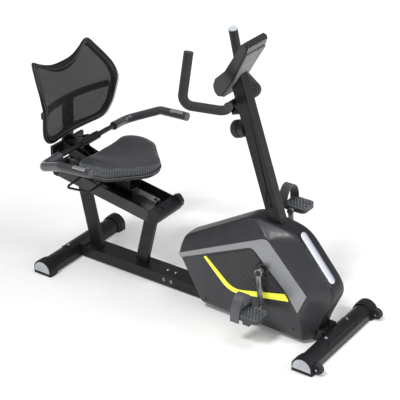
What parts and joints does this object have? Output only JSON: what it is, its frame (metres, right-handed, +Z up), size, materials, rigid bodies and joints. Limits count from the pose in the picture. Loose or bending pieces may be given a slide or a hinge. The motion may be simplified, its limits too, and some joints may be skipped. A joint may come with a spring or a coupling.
{
  "type": "recumbent exercise bike",
  "caption": "Recumbent exercise bike with a sliding seat, mesh backrest, side grips, a boxed-in belt drive with pedals, and a console and handlebar on a leaning post.",
  "frame": {"origin": "on the floor, midway between the two stabilizers, on the machine's centre plane", "axes": "+X is the way the rider faces, towards the drive housing; +Y is the rider's left; +Z is up"},
  "size_m": [1.4784, 0.7194, 1.218],
  "materials": {
    "frame_paint": "satin black powder coat",
    "cap_plastic": "fine matt grain",
    "bolt_steel": "zinc plated",
    "rail_silver": "brushed along the rail",
    "cover_plastic": "fine matt grain",
    "housing_plastic": "satin charcoal",
    "spine_plastic": "dark gloss",
    "trim_silver": "satin silver",
    "strip_silver": "bright silver with fine grooves",
    "panel_plastic": "diamond texture",
    "stripe_yellow": "smooth",
    "foam": "closed-cell foam",
    "grip_gloss": "smooth skinned foam",
    "end_cap": "smooth",
    "console_plastic": "satin black",
    "console_grey": "fine hatch",
    "display": "smooth screen",
    "key_grey": "matt",
    "key_red": "matt",
    "knob_plastic": "fine grain",
    "steel": "ground",
    "crank_paint": "satin black with bright edges",
    "pulley_plastic": "moulded",
    "belt_rubber": "ribbed",
    "flywheel_iron": "turned",
    "pedal_plastic": "moulded",
    "strap_rubber": "smooth",
    "wheel_rubber": "matt",
    "pad_nylon": "smooth",
    "pan_plastic": "matt",
    "vinyl": "embossed vinyl",
    "backrest_plastic": "satin",
    "mesh": "open knitted mesh",
    "sensor": "polished",
    "cable": "smooth"
  },
  "bodies": {
    "frame": {"stabilizer_tubes": "frame_paint", "rear_stabilizer_caps": "cap_plastic", "front_stabilizer_caps": "cap_plastic", "frame_bolts": "bolt_steel", "rear_frame": "frame_paint", "front_frame": "frame_paint", "seat_rail": "rail_silver", "rail_cover": "cover_plastic", "rail_end_caps": "cap_plastic", "housing_right": "housing_plastic", "housing_left": "housing_plastic", "housing_spine": "spine_plastic", "front_trim_strip": "strip_silver", "side_trims": "trim_silver", "side_panels": "panel_plastic", "accent_stripes": "stripe_yellow", "console_post": "frame_paint", "handlebar": "frame_paint", "handlebar_grips": "foam", "handlebar_end_caps": "end_cap", "handlebar_clamp": "frame_paint", "console_case": "console_plastic", "console_back": "console_grey", "console_display": "display", "tension_base": "knob_plastic", "tension_cable": "cable", "crank_bearings": "steel", "drive_belt": "belt_rubber", "flywheel_axle": "steel", "wheel_axles": "steel"},
    "crank": {"crank_axle": "steel", "crank_arm_right": "crank_paint", "crank_arm_left": "crank_paint", "crank_caps": "knob_plastic", "drive_pulley": "pulley_plastic", "pedal_spindles": "steel"},
    "pedal_right": {"pedal_right": "pedal_plastic", "strap_right": "strap_rubber"},
    "pedal_left": {"pedal_left": "pedal_plastic", "strap_left": "strap_rubber"},
    "flywheel": {"flywheel": "flywheel_iron"},
    "idler": {"idler_wheel": "pulley_plastic"},
    "brake": {"brake_arm": "steel"},
    "knob": {"tension_knob": "knob_plastic"},
    "button_mode": {"button_mode": "key_grey"},
    "button_set": {"button_set": "key_grey"},
    "button_reset": {"button_reset": "key_red"},
    "wheel_right": {"transport_wheel_right": "wheel_rubber"},
    "wheel_left": {"transport_wheel_left": "wheel_rubber"},
    "seat": {"seat_carriage": "frame_paint", "glide_pads": "pad_nylon", "seat_pan": "pan_plastic", "seat_cushion": "vinyl", "backrest_spine": "backrest_plastic", "backrest_frame": "backrest_plastic", "backrest_mesh": "mesh", "seat_handlebar": "frame_paint", "seat_grips": "grip_gloss", "pulse_sensors": "sensor"},
    "lever": {"seat_lever": "frame_paint"}
  },
  "joints": [
    {"name": "crank_spin", "type": "hinge", "parent": "frame", "child": "crank", "pos_m": [0.367, 0, 0.289], "axis": [0, 1, 0], "continuous": true},
    {"name": "pedal_right_spin", "type": "hinge", "parent": "crank", "child": "pedal_right", "pos_m": [0.38206, -0.197, 0.12971], "axis": [0, 1, 0], "continuous": true},
    {"name": "pedal_left_spin", "type": "hinge", "parent": "crank", "child": "pedal_left", "pos_m": [0.35194, 0.197, 0.44829], "axis": [0, 1, 0], "continuous": true},
    {"name": "flywheel_spin", "type": "hinge", "parent": "frame", "child": "flywheel", "pos_m": [0.118, 0, 0.2], "axis": [0, 1, 0], "continuous": true},
    {"name": "idler_spin", "type": "hinge", "parent": "frame", "child": "idler", "pos_m": [0.252, -0.065, 0.1982], "axis": [0, 1, 0], "continuous": true},
    {"name": "knob_turn", "type": "hinge", "parent": "frame", "child": "knob", "pos_m": [0.21086, 0, 0.83386], "axis": [-0.9466, 0, -0.3223], "range_deg": [0, 315]},
    {"name": "brake_swing", "type": "hinge", "parent": "frame", "child": "brake", "pos_m": [0.24, 0, 0.118], "axis": [0, 1, 0], "range_deg": [0, 6]},
    {"name": "button_mode_press", "type": "slide", "parent": "frame", "child": "button_mode", "axis": [0.8406, 0, -0.5417], "range_m": [0, 0.0012]},
    {"name": "button_set_press", "type": "slide", "parent": "frame", "child": "button_set", "axis": [0.8406, 0, -0.5417], "range_m": [0, 0.0012]},
    {"name": "button_reset_press", "type": "slide", "parent": "frame", "child": "button_reset", "axis": [0.8406, 0, -0.5417], "range_m": [0, 0.0012]},
    {"name": "wheel_right_spin", "type": "hinge", "parent": "frame", "child": "wheel_right", "pos_m": [0.718, -0.242, 0.03], "axis": [0, 1, 0], "continuous": true},
    {"name": "wheel_left_spin", "type": "hinge", "parent": "frame", "child": "wheel_left", "pos_m": [0.718, 0.242, 0.03], "axis": [0, 1, 0], "continuous": true},
    {"name": "seat_slide", "type": "slide", "parent": "frame", "child": "seat", "axis": [0.9867, 0, -0.1628], "range_m": [-0.11, 0.1]},
    {"name": "lever_lift", "type": "hinge", "parent": "seat", "child": "lever", "pos_m": [-0.42267, -0.04, 0.4548], "axis": [-0.9867, 0, 0.1628], "range_deg": [0, 10]}
  ],
  "couplings": [
    {"joint": "flywheel_spin", "follows": "crank_spin", "ratio": 5.8333},
    {"joint": "brake_swing", "follows": "knob_turn", "ratio": 0.019048}
  ]
}
